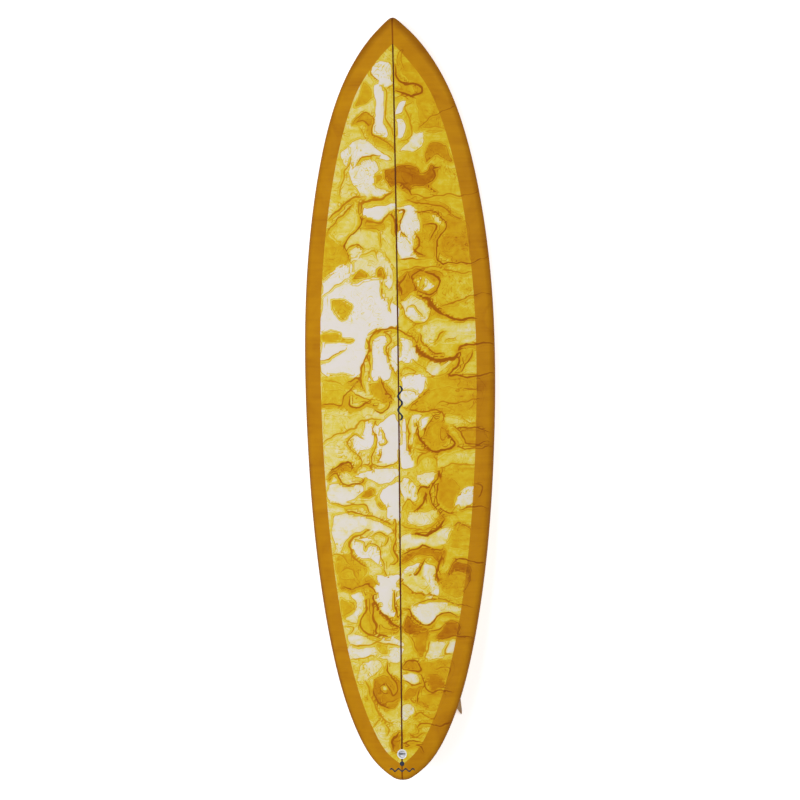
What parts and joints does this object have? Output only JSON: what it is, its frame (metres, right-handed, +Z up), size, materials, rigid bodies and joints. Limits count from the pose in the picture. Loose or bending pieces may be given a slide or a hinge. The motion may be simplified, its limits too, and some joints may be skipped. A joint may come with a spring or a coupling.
{
  "type": "surfboard",
  "caption": "Mid-length surfboard with a rounded-pin tail, wooden stringer, marbled amber deck under clear gloss, leash plug and two removable side fins.",
  "frame": {"origin": "centre of the footprint on the floor, with the board standing on its belly and both fin tips", "axes": "+Y from the tail to the nose, +X to the board's right seen from above with the nose ahead, +Z up out of the deck; the board is pitched nose down by about 5.1 degrees, as it rests on its fins"},
  "size_m": [0.5384, 2.1309, 0.1851],
  "materials": {
    "foam": "matte",
    "stringer_wood": "matte",
    "amber_laminate": "gloss",
    "bottom_resin": "gloss",
    "emblem_paper": "matte",
    "white_plastic": "satin",
    "stainless": "satin",
    "fin_glass": "gloss"
  },
  "bodies": {
    "board": {"foam_left": "foam", "foam_right": "foam", "stringer": "stringer_wood", "deck_laminate": "amber_laminate", "deck_patch": "amber_laminate", "bottom_laminate": "amber_laminate", "bottom_hot_coat": "bottom_resin", "deck_emblem": "emblem_paper", "tail_emblem_wave": "emblem_paper", "tail_emblem_dot": "emblem_paper", "leash_cup": "white_plastic", "leash_bar": "stainless", "left_fin_box": "white_plastic", "right_fin_box": "white_plastic"},
    "left_fin": {"left_fin": "fin_glass"},
    "right_fin": {"right_fin": "fin_glass"},
    "left_rear_screw": {"left_rear_screw": "stainless"},
    "left_front_screw": {"left_front_screw": "stainless"},
    "right_rear_screw": {"right_rear_screw": "stainless"},
    "right_front_screw": {"right_front_screw": "stainless"}
  },
  "joints": [
    {"name": "left_fin_slide", "type": "slide", "parent": "board", "child": "left_fin", "axis": [-0.1086, -0.1763, -0.9783], "range_m": [0, 0.022]},
    {"name": "right_fin_slide", "type": "slide", "parent": "board", "child": "right_fin", "axis": [0.1086, -0.1763, -0.9783], "range_m": [0, 0.022]},
    {"name": "left_rear_screw_turn", "type": "hinge", "parent": "board", "child": "left_rear_screw", "pos_m": [-0.14311, -0.84658, 0.1351], "axis": [-0.5906, -0.1216, -0.7978], "range_deg": [0, 1080]},
    {"name": "left_front_screw_turn", "type": "hinge", "parent": "board", "child": "left_front_screw", "pos_m": [-0.13946, -0.76406, 0.11982], "axis": [-0.5906, -0.1216, -0.7978], "range_deg": [0, 1080]},
    {"name": "right_rear_screw_turn", "type": "hinge", "parent": "board", "child": "right_rear_screw", "pos_m": [0.14311, -0.84658, 0.1351], "axis": [0.5906, -0.1216, -0.7978], "range_deg": [0, 1080]},
    {"name": "right_front_screw_turn", "type": "hinge", "parent": "board", "child": "right_front_screw", "pos_m": [0.13946, -0.76406, 0.11982], "axis": [0.5906, -0.1216, -0.7978], "range_deg": [0, 1080]}
  ]
}
